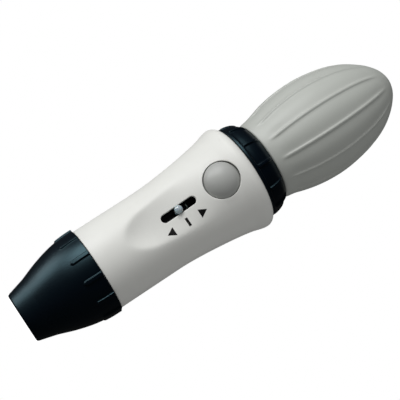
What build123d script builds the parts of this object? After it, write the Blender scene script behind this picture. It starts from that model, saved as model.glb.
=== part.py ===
from build123d import *
import math
import os

# A hand-held pipette pump, in millimetres. Z runs from the nose tip to the bulb's crown, and the
# thumb side with the lever and the button faces -Y.

# Lengths along the axis
nose_length = 41.0
housing_length = 86.0
collar_length = 11.0
bulb_length = 79.7

# Clearances
seam_gap = 0.3
joint_gap = 0.3
running_gap = 0.05
seat_gap = 0.1
fit_gap = 0.02

# Walls
shell_wall = 2.3
floor_wall = 2.0
bulb_wall = 2.0
plate_wall = 2.0
nose_wall = 2.7
collar_wall = 3.3
collar_lip_wall = 1.6
adapter_side_wall = 3.0
exhaust_wall = 2.0
block_side_wall = 3.5
bore_wall = 2.6
tube_wall = 1.2

# Threads of the nose cone and the collar
thread_height = 0.9
thread_root_width_share = 0.55
thread_crest_width_share = 0.325
thread_embed = 0.2
nose_pitch = 4.0
nose_turns = 1.5
nose_thread_room = 10.6
nose_neck_gap = 0.7
collar_thread_radius = 20.4
collar_pitch = 3.0
collar_turns = 1.25

# Housing: a straight waist, then a flare whose middle is set by shares of its rise
waist_radius = 21.4
waist_length = 33.0
flare_radius = 27.8
flare_edge = 4.0
flare_low_share = 0.2656
flare_low_drop = 30.0
flare_high_share = 0.7031
flare_high_drop = 12.0

# Nose cone and its grip ribs
nose_tip_radius = 13.1
nose_tip_round = 1.0
nose_belly_share = 0.8565
nose_belly_height = 19.5
nose_ribs = 12
nose_rib_width = 2.0
nose_rib_height = 0.9
nose_rib_length = 9.6

# Collar and its grip ribs
collar_land = 1.6
collar_swell = 0.9
collar_lip_depth = 2.7
collar_ribs = 12
collar_rib_turn = 10.3
collar_rib_width = 1.6
collar_rib_height = 0.8
collar_rib_inset = 0.5

# Bulb: its side by shares of its radius and length, its neck and its meridian ribs
bulb_radius = 26.06
bulb_low_radius_share = 0.9363
bulb_low_height_share = 0.1957
bulb_peak_share = 0.414
bulb_high_radius_share = 0.8903
bulb_high_height_share = 0.6775
bulb_top_radius_share = 0.4873
bulb_top_height_share = 0.9184
bulb_neck_step = 1.8
bulb_flange_lip = 2.1
bulb_ribs = 12
bulb_rib_turn = 19.4
bulb_rib_width = 1.4
bulb_rib_height = 0.5
bulb_rib_root = 0.8

# Pipette adapter and its seat in the nose cone
socket_radius = 3.5
socket_depth = 10.5
mouth_flare = 1.7
mouth_depth = 6.0
mouth_sink = 0.5
adapter_tip_wall = 2.0
adapter_tip_length = 3.0
adapter_step = 3.0
adapter_flange_thickness = 3.3
air_radius = 1.5

# Filter between the adapter and the spigot
filter_half_thickness = 3.0
filter_rim = 3.8
filter_chamber_depth = 0.8
membrane_thickness = 0.3
membrane_lap = 1.0
spout_radius = 3.0
lower_spout_length = 5.0
upper_spout_length = 9.0
spout_ring_wire = 0.8
spout_boss_depth = 5.0

# Spigots held between the two shells
flange_thickness = 2.5
flange_cover = 1.2
flange_rise = 2.0
nipple_radius = 2.4
nipple_length = 5.0
bulb_flange_cover = 3.3
bulb_flange_thickness = 3.1
lid_thickness = 2.5
ledge_wall = 2.3
ledge_width = 1.9

# Thumb scoop: sections of its floor, as height above the lever, depth under the waist's radius
# at the middle, and rise towards the sides per square of the distance across
scoop_depth = 3.3
scoop_reach = 16.0
scoop_sections = [(-29.9, -0.8, 0.030), (-25.9, 1.3, 0.029), (-20.9, 2.8, 0.020),
                  (-10.9, scoop_depth, 0.008), (1.1, 2.15, -0.003), (11.1, -0.5, -0.014),
                  (20.1, -3.4, -0.020)]

# Lever valve
lever_travel = 6.0
stud_radius = 1.85
stud_head_step = 0.2
stud_head_length = 2.7
stud_lift = 0.6
slot_side_room = 0.25
slot_end_room = 1.65
bore_radius = 4.0
block_back = 4.0
block_round = 2.0
plug_length = 3.0
spool_length = 12.0
ring_wire = 1.4
ring_land = 1.0
shield_thickness = 1.1
shield_lap = 1.9
shield_room = 2.5
upper_tube_length = 5.3

# Springs
spring_wire = 0.5
valve_spring_turns = 4.0
packed_spring_length = 2.3
button_spring_turns = 6.0
pressed_spring_length = 7.4

# Button and exhaust valve, set square to the flared surface
button_drop = 16.3
button_depth_share = 0.5156
button_tilt = 12.0
button_radius = 8.7
button_crown = 2.7
button_edge = 0.3
button_round = 0.7
button_wall = 1.4
button_skirt = 4.6
button_travel = 3.5
guide_wall = 1.4
hook_lift = 0.4
hook_reach = 1.1
hook_thickness = 1.0
hook_width = 5.0
stem_radius = 1.45
stem_boss_radius = 2.8
exhaust_front = 13.0
exhaust_radius = 5.2
exhaust_boss_radius = 4.2
exhaust_boss_lap = 1.0
seat_wall = 3.5
seat_lip = 1.0
poppet_thickness = 1.5
stem_head_thickness = 0.8
end_plug_length = 3.0
spigot_ring_wire = 0.8

# Screws that join the shells
lower_screw_across = 14.5
lower_screw_rise = 13.0
upper_screw_across = 16.5
upper_screw_drop = 19.0
screw_radius = 1.25
screw_head_radius = 2.6
screw_head_height = 2.0
screw_seat = 6.0
screw_grip = 8.5

# Heights of the main parts, which follow from the sizes above
housing_top = nose_length + housing_length
collar_top = housing_top + collar_length
total_length = collar_top + bulb_length
far = 2 * flare_radius

# Housing's form
flare_start = nose_length + waist_length
flare_rise = flare_radius - waist_radius
flare_low = (waist_radius + flare_low_share * flare_rise, housing_top - flare_low_drop)
flare_high = (waist_radius + flare_high_share * flare_rise, housing_top - flare_high_drop)
lid_height = housing_top - lid_thickness
bulb_flange_height = lid_height - seat_gap - bulb_flange_thickness
bulb_flange_radius = flare_radius - bulb_flange_cover
ledge_height = bulb_flange_height - seat_gap - ledge_wall
ledge_radius = bulb_flange_radius - ledge_width
nose_flange_height = nose_length + flange_rise
nose_flange_radius = waist_radius - flange_cover
boss_radius = screw_head_radius + 2 * joint_gap

# Nose cone, adapter and filter
nose_thread_radius = waist_radius - shell_wall - nose_neck_gap
nose_thread_root = nose_thread_radius + thread_height + joint_gap
nose_rim_radius = nose_thread_root + nose_wall
nose_belly_radius = nose_belly_share * nose_rim_radius
nose_ridge_start = nose_length - nose_pitch * (nose_turns + 0.5)
filter_top = nose_length - nose_thread_room
filter_joint = filter_top - filter_half_thickness
adapter_top = filter_joint - filter_half_thickness
shoulder_height = adapter_top - adapter_flange_thickness
spigot_bottom = filter_top + seat_gap
adapter_flange_radius = nose_belly_radius - adapter_side_wall - joint_gap
filter_chamber_radius = adapter_flange_radius - filter_rim
membrane_radius = filter_chamber_radius + membrane_lap
mouth_radius = socket_radius + mouth_flare
adapter_tip_radius = mouth_radius + adapter_tip_wall
spout_boss_bottom = filter_top + upper_spout_length - spout_boss_depth
spout_groove_radius = spout_radius + running_gap + spout_ring_wire

# Collar and bulb neck
collar_thread_root = collar_thread_radius + thread_height + joint_gap
collar_bottom = housing_top + seam_gap
collar_radius = collar_thread_root + collar_wall
collar_ridge_start = collar_bottom + collar_pitch * thread_root_width_share / 2 + fit_gap
neck_hole_radius = collar_thread_root + joint_gap
bulb_neck_radius = collar_thread_radius - bulb_neck_step
collar_lip_inner = bulb_neck_radius + joint_gap
collar_lip_radius = collar_lip_inner + collar_lip_wall
clamp_height = collar_top - collar_lip_depth
bulb_seat_height = clamp_height - seat_gap - bulb_flange_lip
bulb_flange_outer = collar_thread_root - 2 * joint_gap
bulb_shoulder_radius = collar_lip_radius + seat_gap

# Button and exhaust valve
tilt = math.radians(button_tilt)
press = Vector(0, math.cos(tilt), math.sin(tilt))
button_height = housing_top - button_drop
button_depth = waist_radius + button_depth_share * flare_rise
button_plane = Plane(origin=(0, -button_depth, button_height), x_dir=(1, 0, 0), z_dir=press)
guide_end = button_skirt + hook_lift
chamber_radius = exhaust_radius - exhaust_wall
seat_radius = chamber_radius - seat_lip
poppet_radius = chamber_radius - joint_gap
stem_head_radius = poppet_radius - joint_gap
poppet_start = exhaust_front + seat_wall + running_gap
stem_head_start = poppet_start + poppet_thickness + running_gap
button_spring_start = stem_head_start + stem_head_thickness + seat_gap
button_spring_length = button_travel + pressed_spring_length
button_spring_radius = chamber_radius - 2 * spring_wire - seat_gap
exhaust_end = button_spring_start + button_spring_length + seat_gap + end_plug_length
tube_radius = nipple_radius + fit_gap + tube_wall
exhaust_height = button_height + button_depth * math.tan(tilt)
exhaust_floor = exhaust_height - exhaust_radius / math.cos(tilt) - tube_radius * math.tan(tilt)
exhaust_boss_top = bulb_flange_height + exhaust_boss_lap
spout_end = exhaust_height + chamber_radius
spigot_ring_height = (spout_end + exhaust_boss_top) / 2

# Lever valve
valve_spring_length = lever_travel + packed_spring_length
valve_spring_radius = bore_radius - spring_wire - joint_gap
block_length = spool_length + 2 * (valve_spring_length + plug_length + 2 * seat_gap)
block_width = 2 * (bore_radius + block_side_wall)
block_top = exhaust_floor - upper_tube_length - 2 * seat_gap
block_bottom = block_top - block_length
lever_height = (block_top + block_bottom) / 2
lever_floor = waist_radius - scoop_depth
block_front = lever_floor - floor_wall - shield_room
valve_axis = block_front - bore_radius - bore_wall
ring_offset = (spool_length - ring_wire) / 2 - ring_land
shield_front = block_front + 2 * seat_gap + shield_thickness
stud_head_radius = stud_radius + stud_head_step
stud_head_start = lever_floor + stud_lift
stud_crown = stud_head_start + stud_head_length
slot_width = 2 * (stud_radius + slot_side_room)
slot_length = 2 * (lever_travel + stud_radius + slot_end_room)
shield_width = slot_width + 2 * shield_lap
shield_length = slot_length + 2 * lever_travel


def turned(*points):
    """A solid turned about the axis from its (radius, height) outline."""
    return revolve(make_face(Plane.XZ * Polyline(*points, close=True)), Axis.Z)


def rod(radius, low, high, x=0.0, y=0.0):
    """An upright cylinder between two heights."""
    return Pos(x, y, (low + high) / 2) * Cylinder(radius, high - low)


def pin(radius, front, back, x=0.0, z=0.0):
    """A cylinder along Y between two values of y."""
    return Pos(x, (front + back) / 2, z) * Rot(90, 0, 0) * Cylinder(radius, back - front)


def pressed_rod(radius, start, end):
    """A cylinder along the button's line of travel, measured from the housing's surface."""
    return button_plane * Pos(0, 0, (start + end) / 2) * Cylinder(radius, end - start)


def o_ring(radius, wire):
    """A ring of round wire whose outside has the given radius."""
    return Torus(radius - wire / 2, wire / 2)


def coil(radius, wire, length, turns):
    """A compression spring that stands on the XY plane, its ends inside its length."""
    path = Helix(pitch=(length - wire) / turns, height=length - wire, radius=radius)
    section = Plane(origin=path @ 0, z_dir=path % 0) * Circle(wire / 2)
    return Pos(0, 0, wire / 2) * sweep(section, path=Wire([path]))


def thread_ridge(radius, pitch, turns, start, outward):
    """One start of a right-hand thread, as a ridge on a wall of the given radius."""
    root = pitch * thread_root_width_share / 2
    crest = pitch * thread_crest_width_share / 2
    side = 1 if outward else -1
    base, tip = -side * thread_embed, side * thread_height
    helix = Helix(pitch=pitch, height=pitch * turns, radius=radius)
    outline = Polyline((base, -root), (base, root), (tip, crest), (tip, -crest), close=True)
    plane = Plane(origin=helix @ 0, x_dir=(1, 0, 0), z_dir=helix % 0)
    return Pos(0, 0, start) * sweep(plane * make_face(outline), path=Wire([helix]), is_frenet=True)


def nose_face(extra=0.0):
    """Half the section of the solid nose cone, grown by extra."""
    tip = (nose_tip_radius + extra, 0)
    rim = (nose_rim_radius + extra, nose_length)
    side = ThreePointArc(tip, (nose_belly_radius + extra, nose_belly_height), rim)
    frame = Polyline(rim, (0, nose_length), (0, 0), tip)
    return make_face(Plane.XZ * Curve([side, frame]))


def nose_cone():
    """The screwed nose cone: a curved taper with grip ribs, a seat for the adapter and a thread."""
    room = turned(
        (0, shoulder_height - seat_gap),
        (adapter_flange_radius + joint_gap, shoulder_height - seat_gap),
        (adapter_flange_radius + joint_gap, filter_joint),
        (nose_thread_root, filter_top - 1.0),
        (nose_thread_root, far),
        (0, far),
    )
    shaft = adapter_bevel(joint_gap)
    blank = revolve(nose_face(), Axis.Z)
    ribs = revolve(nose_face(nose_rib_height), Axis.Z)
    middle = nose_length - nose_rib_length / 2
    slot = SlotOverall(2 * nose_rib_length, nose_rib_width, rotation=90)
    blade = extrude(Plane.YZ * Pos(0, middle + nose_rib_length / 2) * slot, amount=far)
    for index in range(nose_ribs):
        turn = Rot(0, 0, (index + 0.5) * 360 / nose_ribs)
        blank += ribs & turn * blade
    rims = blank.edges().filter_by(lambda edge: edge.is_closed)
    blank = fillet(rims.sort_by(Axis.Z)[:1], nose_tip_round)
    blank -= room + shaft
    return blank + thread_ridge(nose_thread_root, nose_pitch, nose_turns, nose_ridge_start, False)


def adapter_bevel(extra):
    """The tapered outside of the pipette adapter up to its flange, grown by extra."""
    foot = adapter_tip_radius + extra
    head = adapter_flange_radius - adapter_step + extra
    low = mouth_sink - (1.0 if extra else 0.0)
    high = shoulder_height + 0.5
    return turned((0, low), (foot, low), (foot, mouth_sink + adapter_tip_length),
                  (head, shoulder_height - 2.0), (head, high), (0, high))


def pipette_adapter():
    """The soft cone that grips the pipette, with a flange that seals under the filter."""
    body = adapter_bevel(0.0) + rod(adapter_flange_radius, shoulder_height, adapter_top)
    passage = rod(air_radius, mouth_sink, adapter_top)
    socket = rod(socket_radius, mouth_sink, mouth_depth + socket_depth)
    mouth = turned((0, mouth_sink), (mouth_radius, mouth_sink), (socket_radius, mouth_depth), (0, mouth_depth))
    seat = rod(spout_radius + fit_gap, adapter_top - lower_spout_length - seat_gap, adapter_top)
    return body - passage - socket - mouth - seat


def filter_half(spout_length):
    """Half of the filter's case: a dished disc with a spout, standing on its spout side at z = 0."""
    disc = rod(adapter_flange_radius, -filter_half_thickness, 0)
    spout = rod(spout_radius, -filter_half_thickness - spout_length, -filter_half_thickness)
    dish = rod(filter_chamber_radius, -membrane_thickness / 2 - filter_chamber_depth, 0)
    bore = rod(air_radius, -filter_half_thickness - spout_length, 0)
    rim = rod(membrane_radius, -membrane_thickness / 2, 0)
    return disc + spout - dish - bore - rim


def nose_spigot():
    """The threaded end piece that the nose cone screws on to, held by a flange in the shells."""
    floor_height = nose_flange_height
    flange_top = nose_flange_height + flange_thickness
    neck_inner = nose_thread_radius - plate_wall
    outside = turned(
        (0, spout_boss_bottom), (spout_radius + plate_wall, spout_boss_bottom),
        (spout_radius + plate_wall, floor_height - plate_wall), (neck_inner, floor_height - plate_wall),
        (neck_inner, spigot_bottom), (nose_thread_radius, spigot_bottom),
        (nose_thread_radius, floor_height), (nose_flange_radius, floor_height),
        (nose_flange_radius, flange_top), (nipple_radius, flange_top),
        (nipple_radius, flange_top + nipple_length), (0, flange_top + nipple_length),
    )
    socket = rod(spout_radius + running_gap, spout_boss_bottom, floor_height)
    middle = spout_boss_bottom + 2.0
    groove = rod(spout_groove_radius, middle - spout_ring_wire, middle + spout_ring_wire)
    bore = rod(air_radius, spout_boss_bottom, flange_top + nipple_length)
    ridge = thread_ridge(nose_thread_radius, nose_pitch, nose_turns,
                         nose_ridge_start - nose_pitch / 2, True)
    return outside - socket - groove - bore + ridge


def filter_o_ring():
    """The ring in the spigot's socket that seals on the filter's upper spout."""
    return Pos(0, 0, spout_boss_bottom + 2.0) * o_ring(spout_groove_radius, spout_ring_wire)


def housing_solid(depth, low, high, rounded):
    """The housing's form at a depth under its surface, between two heights."""
    waist = waist_radius - depth
    edge = flare_edge if rounded else 0.0
    crest = high - edge
    profile = [
        Line((0, low), (waist, low)),
        Line((waist, low), (waist, flare_start)),
        Spline((waist, flare_start), (flare_low[0] - depth, flare_low[1]),
               (flare_high[0] - depth, flare_high[1]),
               (flare_radius - depth, housing_top - flare_edge), tangents=((0, 1), (0, 1))),
    ]
    if rounded:
        profile.append(RadiusArc((flare_radius, crest), (flare_radius - edge, high), -edge))
        profile.append(Line((flare_radius - edge, high), (0, high)))
    else:
        profile.append(Line((flare_radius - depth, housing_top - flare_edge), (flare_radius - depth, high)))
        profile.append(Line((flare_radius - depth, high), (0, high)))
    profile.append(Line((0, high), (0, low)))
    return revolve(make_face(Plane.XZ * Curve(profile)), Axis.Z)


def housing_skin():
    """The housing's outer form, the rooms that hold the spigots, and both shells in one."""
    outer = housing_solid(0.0, nose_length + seam_gap, housing_top, True)
    cavity = housing_solid(shell_wall, 0.0, housing_top + flare_edge, False)
    cavity &= rod(far, 0, ledge_height)
    rooms = rod(bulb_flange_radius + seat_gap, bulb_flange_height - seat_gap, lid_height)
    rooms += rod(neck_hole_radius, lid_height - 1, housing_top + 1)
    rooms += rod(nose_flange_radius + seat_gap, nose_flange_height - seat_gap,
                 nose_flange_height + flange_thickness + seat_gap)
    ledge_hole = rod(ledge_radius, ledge_height - 1, bulb_flange_height)
    return outer, rooms, outer - cavity - ledge_hole - rooms


def half_space(side):
    """Everything on one side of the parting plane y = 0: side -1 is the front."""
    return Pos(0, side * far / 2, total_length / 2) * Box(2 * far, far, total_length)


def screw_places():
    """The (x, z) of each screw, in pairs left and right of the axis."""
    rows = [(lower_screw_across, nose_length + lower_screw_rise),
            (upper_screw_across, housing_top - upper_screw_drop)]
    return [(side * across, height) for across, height in rows for side in (-1, 1)]


def scoop_region(depth):
    """Everything in front of the scoop's dished floor, or of a sheet set behind it by depth."""
    sections = []
    for rise, sink, dish in scoop_sections:
        middle = -(waist_radius - sink - depth)
        side = middle - dish * scoop_reach ** 2
        floor_line = ThreePointArc((-scoop_reach, side), (0, middle), (scoop_reach, side))
        frame = Polyline((scoop_reach, side), (scoop_reach, -far), (-scoop_reach, -far), (-scoop_reach, side))
        sections.append(Pos(0, 0, lever_height + rise) * make_face(Curve([floor_line, frame])))
    return loft(sections)


def lever_slot(width, length, front, back):
    """A slot with round ends at the lever, cut through from front to back."""
    shape = SlotOverall(length, width, rotation=90)
    place = Plane.XZ.offset(-back) * Pos(0, lever_height)
    return extrude(place * shape, amount=back - front)


def front_shell(outer, rooms, skin):
    """The thumb-side shell, with the scoop, the lever slot and the button's guide."""
    front = half_space(-1)
    shell = skin & front
    floor_plate = scoop_region(floor_wall) & outer & front
    guide = pressed_rod(button_radius + joint_gap + guide_wall, -flare_edge, guide_end) & outer
    shell += floor_plate + guide
    shell -= rooms
    for x, z in screw_places():
        shell += pin(boss_radius, -far, 0, x, z) & outer
        shell -= pin(screw_radius + fit_gap, -screw_grip - 1.0, 1.0, x, z)
    shell -= scoop_region(0.0)
    shell -= lever_slot(slot_width, slot_length, -far / 2, -block_front)
    return shell - pressed_rod(button_radius + joint_gap, -far / 4, guide_end + 1)


def rear_shell(outer, skin):
    """The palm-side shell, with sunk holes for the screws."""
    shell = skin & half_space(1)
    for x, z in screw_places():
        shell += pin(boss_radius, 0, far, x, z) & outer
        shell -= pin(screw_radius + joint_gap, -1.0, far, x, z)
        shell -= pin(screw_head_radius + joint_gap, screw_seat, far, x, z)
    return shell


def shell_screws():
    """Four self-tapping screws with cross recesses."""
    screws = []
    for x, z in screw_places():
        screw = pin(screw_radius, -screw_grip, screw_seat, x, z)
        screw += pin(screw_head_radius, screw_seat, screw_seat + screw_head_height, x, z)
        recess = Box(2.6, 2.4, 0.6) + Box(0.6, 2.4, 2.6)
        screws.append(screw - Pos(x, screw_seat + screw_head_height, z) * recess)
    return Compound(screws)


def valve_block():
    """The block with the spool's bore in front and the air passages behind it."""
    depth = block_front + block_back
    block = Pos(0, (block_back - block_front) / 2, lever_height) * Box(block_width, depth, block_length)
    block = fillet(block.edges().filter_by(Axis.Z), block_round)
    block += rod(nipple_radius, block_bottom - nipple_length, block_top + nipple_length / 2)
    block -= rod(bore_radius, block_bottom - 1, block_top + 1, 0, -valve_axis)
    window = lever_slot(2 * (stud_radius + joint_gap), 2 * (lever_travel + stud_radius + joint_gap),
                        -far / 2, -valve_axis)
    block -= window
    port = ring_offset + ring_wire
    for low, high, level in (
        (block_bottom - nipple_length - 1, lever_height - port, lever_height - port),
        (lever_height + port, block_top + nipple_length, lever_height + port),
    ):
        block -= rod(air_radius, low, high)
        block -= pin(air_radius, -valve_axis, 0, 0, level)
    return block


def valve_spool():
    """The sliding spool, with ring grooves and a cross hole for the stud."""
    spool = Pos(0, -valve_axis, lever_height) * Cylinder(bore_radius - running_gap, spool_length)
    for side in (-1, 1):
        place = Pos(0, -valve_axis, lever_height + side * ring_offset)
        groove = Cylinder(bore_radius, ring_wire + seat_gap)
        groove -= Cylinder(bore_radius - ring_wire - 2 * fit_gap, far)
        spool -= place * groove
    return spool - pin(stud_radius + fit_gap, -far, -valve_axis + stud_radius, 0, lever_height)


def spool_o_rings():
    """The two rings that seal the spool in its bore."""
    ring = o_ring(bore_radius - fit_gap, ring_wire)
    places = [Pos(0, -valve_axis, lever_height + side * ring_offset) for side in (-1, 1)]
    return Compound([place * ring for place in places])


def spring_plug(side):
    """A plug that closes one end of the bore, with a slot for its driver."""
    height = lever_height + side * (block_length - plug_length) / 2
    plug = Pos(0, -valve_axis, height) * Cylinder(bore_radius - fit_gap, plug_length)
    slot = Pos(0, -valve_axis, lever_height + side * block_length / 2) * Box(far, 1.0, 2.0)
    return plug - slot


def centring_spring(side):
    """The spring between one plug and the spool."""
    low = lever_height + spool_length / 2 + seat_gap
    if side < 0:
        low = lever_height - spool_length / 2 - seat_gap - valve_spring_length
    spring = coil(valve_spring_radius, spring_wire, valve_spring_length, valve_spring_turns)
    return Pos(0, -valve_axis, low) * spring


def lever_stud():
    """The stud that the thumb moves, with a domed head in the scoop."""
    stem = pin(stud_radius, -stud_head_start, -valve_axis + stud_radius - fit_gap, 0, lever_height)
    head = pin(stud_head_radius, -stud_crown, -stud_head_start, 0, lever_height)
    crown = head.edges().filter_by(GeomType.CIRCLE).sort_by(Axis.Y)[:1]
    return stem + fillet(crown, stud_head_radius * 0.6)


def slot_shield():
    """The dark plate that moves with the stud and keeps the slot closed."""
    plate = Pos(0, -shield_front + shield_thickness / 2, lever_height)
    plate *= Box(shield_width, shield_thickness, shield_length)
    plate = fillet(plate.edges().filter_by(Axis.Y), shield_width / 4)
    return plate - pin(stud_radius + fit_gap, -far, 0, 0, lever_height)


def sleeve(low, high):
    """A length of soft tube over two nipples on the axis."""
    return rod(tube_radius, low, high) - rod(nipple_radius + fit_gap, low, high)


def lower_tube():
    """The tube from the nose spigot to the valve block."""
    return sleeve(nose_flange_height + flange_thickness + seat_gap, block_bottom - seat_gap)


def upper_tube():
    """The tube from the valve block to the exhaust valve."""
    return sleeve(block_top + seat_gap, exhaust_floor - seat_gap)


def exhaust_body():
    """The body of the exhaust valve: a barrel along the button's line and a boss on the axis."""
    body = pressed_rod(exhaust_radius, exhaust_front, exhaust_end)
    body += rod(exhaust_boss_radius, exhaust_floor, exhaust_boss_top)
    body += rod(nipple_radius, exhaust_floor - nipple_length / 2, exhaust_floor)
    body -= pressed_rod(seat_radius, exhaust_front - 1, exhaust_end)
    body -= pressed_rod(chamber_radius, exhaust_front + seat_wall, exhaust_end + 1)
    body -= rod(air_radius, exhaust_floor - nipple_length, exhaust_height)
    return body - rod(spout_radius + fit_gap, exhaust_height, exhaust_boss_top + 1)


def exhaust_end_plug():
    """The plug that closes the exhaust valve and backs its spring."""
    plug = pressed_rod(chamber_radius - fit_gap, exhaust_end - end_plug_length, exhaust_end)
    return plug + pressed_rod(exhaust_radius, exhaust_end, exhaust_end + 1.0)


def button_stem():
    """The stem from the button's cap to the exhaust valve, with a head behind the poppet."""
    stem = pressed_rod(stem_radius, 0.5, stem_head_start)
    return stem + pressed_rod(stem_head_radius, stem_head_start, stem_head_start + stem_head_thickness)


def exhaust_poppet():
    """The soft ring that closes the exhaust valve's seat."""
    end = poppet_start + poppet_thickness
    ring = pressed_rod(poppet_radius, poppet_start, end)
    return ring - pressed_rod(stem_radius + fit_gap, poppet_start - 1, end + 1)


def button_spring():
    """The spring that returns the button."""
    spring = coil(button_spring_radius, spring_wire, button_spring_length, button_spring_turns)
    return button_plane * Pos(0, 0, button_spring_start) * spring


def button_cap():
    """The domed thumb button, with a skirt, a boss for the stem and two hooks."""
    rim = button_radius - button_wall
    shoulder = button_edge + 0.64 * (button_crown - button_edge)
    dome = ThreePointArc((0, -button_crown), (0.6 * button_radius, -shoulder),
                         (button_radius, -button_edge))
    outside = [dome, Polyline((button_radius, -button_edge), (button_radius, button_skirt),
                              (0, button_skirt), (0, -button_crown))]
    cap = revolve(make_face(Plane.XZ * Curve(outside)), Axis.Z)
    rims = cap.edges().filter_by(lambda edge: edge.is_closed)
    cap = fillet(rims.sort_by(Axis.Z)[:1], button_round)
    cap -= rod(rim, button_wall - button_edge, button_skirt)
    cap += rod(stem_boss_radius, 0, button_skirt)
    cap -= rod(stem_radius + fit_gap, 0.5 - fit_gap, button_skirt + 1)
    hook_top = guide_end + seat_gap
    for side in (-1, 1):
        leg = Pos(side * (button_radius - button_wall / 2), 0, (button_skirt + hook_top) / 2)
        cap += leg * Box(button_wall * 0.9, hook_width, hook_top - button_skirt + 2 * hook_thickness)
        reach = button_radius - button_wall / 2 + hook_reach / 2
        toe = Pos(side * reach, 0, hook_top + hook_thickness / 2)
        cap += toe * Box(button_wall * 0.9 + hook_reach, hook_width, hook_thickness)
    return button_plane * cap


def bulb_spigot():
    """The threaded end piece that the bulb's neck is clamped on, held by a flange in the shells."""
    neck_inner = collar_thread_radius - plate_wall - thread_height
    outside = turned(
        (0, spout_end), (spout_radius, spout_end),
        (spout_radius, lid_height - seat_gap), (collar_thread_radius - plate_wall, lid_height - seat_gap),
        (collar_thread_radius - plate_wall, bulb_flange_height), (bulb_flange_radius, bulb_flange_height),
        (bulb_flange_radius, bulb_flange_height + bulb_flange_thickness),
        (collar_thread_radius, bulb_flange_height + bulb_flange_thickness),
        (collar_thread_radius, bulb_seat_height), (neck_inner, bulb_seat_height),
        (neck_inner, lid_height + plate_wall), (0, lid_height + plate_wall),
    )
    ridge = thread_ridge(collar_thread_radius, collar_pitch, collar_turns,
                         collar_ridge_start - collar_pitch / 2, True)
    low, high = spigot_ring_height - spigot_ring_wire, spigot_ring_height + spigot_ring_wire
    groove = rod(spout_radius + 1, low, high) - rod(spout_radius - spigot_ring_wire, low - 1, high + 1)
    bore = rod(air_radius, exhaust_height, lid_height + plate_wall + 1)
    return outside - groove - bore + ridge


def spigot_o_ring():
    """The ring that seals the bulb spigot's spout in the exhaust body."""
    return Pos(0, 0, spigot_ring_height) * o_ring(spout_radius, spigot_ring_wire)


def collar_form(extra):
    """The collar's solid outer form, grown by extra above its land."""
    start = (collar_radius + extra, collar_bottom + collar_land)
    end = (collar_lip_radius + extra, collar_top)
    middle = (collar_radius - collar_swell + extra, (start[1] + end[1]) / 2 + 0.3)
    frame = Polyline(end, (0, collar_top), (0, collar_bottom), (start[0], collar_bottom), start)
    return revolve(make_face(Plane.XZ * Curve([ThreePointArc(start, middle, end), frame])), Axis.Z)


def bulb_collar():
    """The screwed collar that clamps the bulb's neck, with grip ribs across its side."""
    low, high = collar_bottom + collar_land + collar_rib_inset, collar_top - 2 * collar_rib_inset
    outline = SlotOverall(high - low, collar_rib_width, rotation=90)
    blade = extrude(Plane.YZ * Pos(0, (low + high) / 2) * outline, amount=far)
    collar, grown = collar_form(0.0), collar_form(collar_rib_height)
    for index in range(collar_ribs):
        collar += grown & Rot(0, 0, collar_rib_turn + index * 360 / collar_ribs) * blade
    collar -= rod(collar_thread_root, collar_bottom - 1, clamp_height)
    collar -= rod(collar_lip_inner, collar_bottom, collar_top + 1)
    return collar + thread_ridge(collar_thread_root, collar_pitch, collar_turns, collar_ridge_start, False)


def bulb_side(depth):
    """The bulb's swelling side at a depth under its surface, as (radius, height)."""
    shoulder = (bulb_shoulder_radius - depth, collar_top + seam_gap + depth)
    low = (bulb_low_radius_share * bulb_radius - depth, collar_top + bulb_low_height_share * bulb_length)
    peak = (bulb_radius - depth, collar_top + bulb_peak_share * bulb_length)
    high = (bulb_high_radius_share * bulb_radius - depth,
            collar_top + bulb_high_height_share * bulb_length - depth / 2)
    top = (bulb_top_radius_share * bulb_radius - depth,
           collar_top + bulb_top_height_share * bulb_length - depth / 2)
    crown = (0, total_length - depth)
    return Spline(shoulder, low, peak, high, top, crown, tangents=((0.5, 1), (-1, 0)))


def bulb_form(depth):
    """The bulb's swelling form at a depth under its surface."""
    base = collar_top + seam_gap + depth
    frame = Polyline((0, total_length - depth), (0, base), (bulb_shoulder_radius - depth, base))
    return revolve(make_face(Plane.XZ * Curve([bulb_side(depth), frame])), Axis.Z)


def bulb_rib():
    """One rib on the bulb's side, above the X axis, that sinks into the surface at both ends."""
    side = bulb_side(0.0)
    crest, root = [], []
    for share, rise_share in ((0.03, -0.6), (0.09, 0.5), (0.2, 1.0), (0.35, 1.0), (0.5, 1.0),
                              (0.65, 1.0), (0.74, 0.6), (0.8, -0.6)):
        lean = side % share
        out = Vector(lean.Y, -lean.X)
        crest.append(side @ share + out * rise_share * bulb_rib_height)
        root.append(side @ share - out * bulb_rib_root)
    ends = [Line(crest[-1], root[-1]), Line(root[0], crest[0])]
    face = make_face(Plane.XZ * Curve([Spline(*crest), Spline(*root)] + ends))
    return extrude(face, amount=bulb_rib_width / 2, both=True)


def bulb():
    """The hollow squeeze bulb with meridian ribs and a necked, flanged mouth."""
    neck_top = collar_top + seam_gap + 1.0
    body = bulb_form(0.0) + rod(bulb_neck_radius, bulb_seat_height, neck_top)
    body += rod(bulb_flange_outer, bulb_seat_height, bulb_seat_height + bulb_flange_lip)
    rib = bulb_rib()
    body += [Rot(0, 0, bulb_rib_turn + index * 360 / bulb_ribs) * rib for index in range(bulb_ribs)]
    throat = rod(bulb_neck_radius - bulb_wall, bulb_seat_height - 1, neck_top + bulb_wall)
    return body - bulb_form(bulb_wall) - throat


def write(name, piece):
    """Save one piece under its node's name."""
    export_step(piece, os.path.join("parts", name + ".step"))


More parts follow.
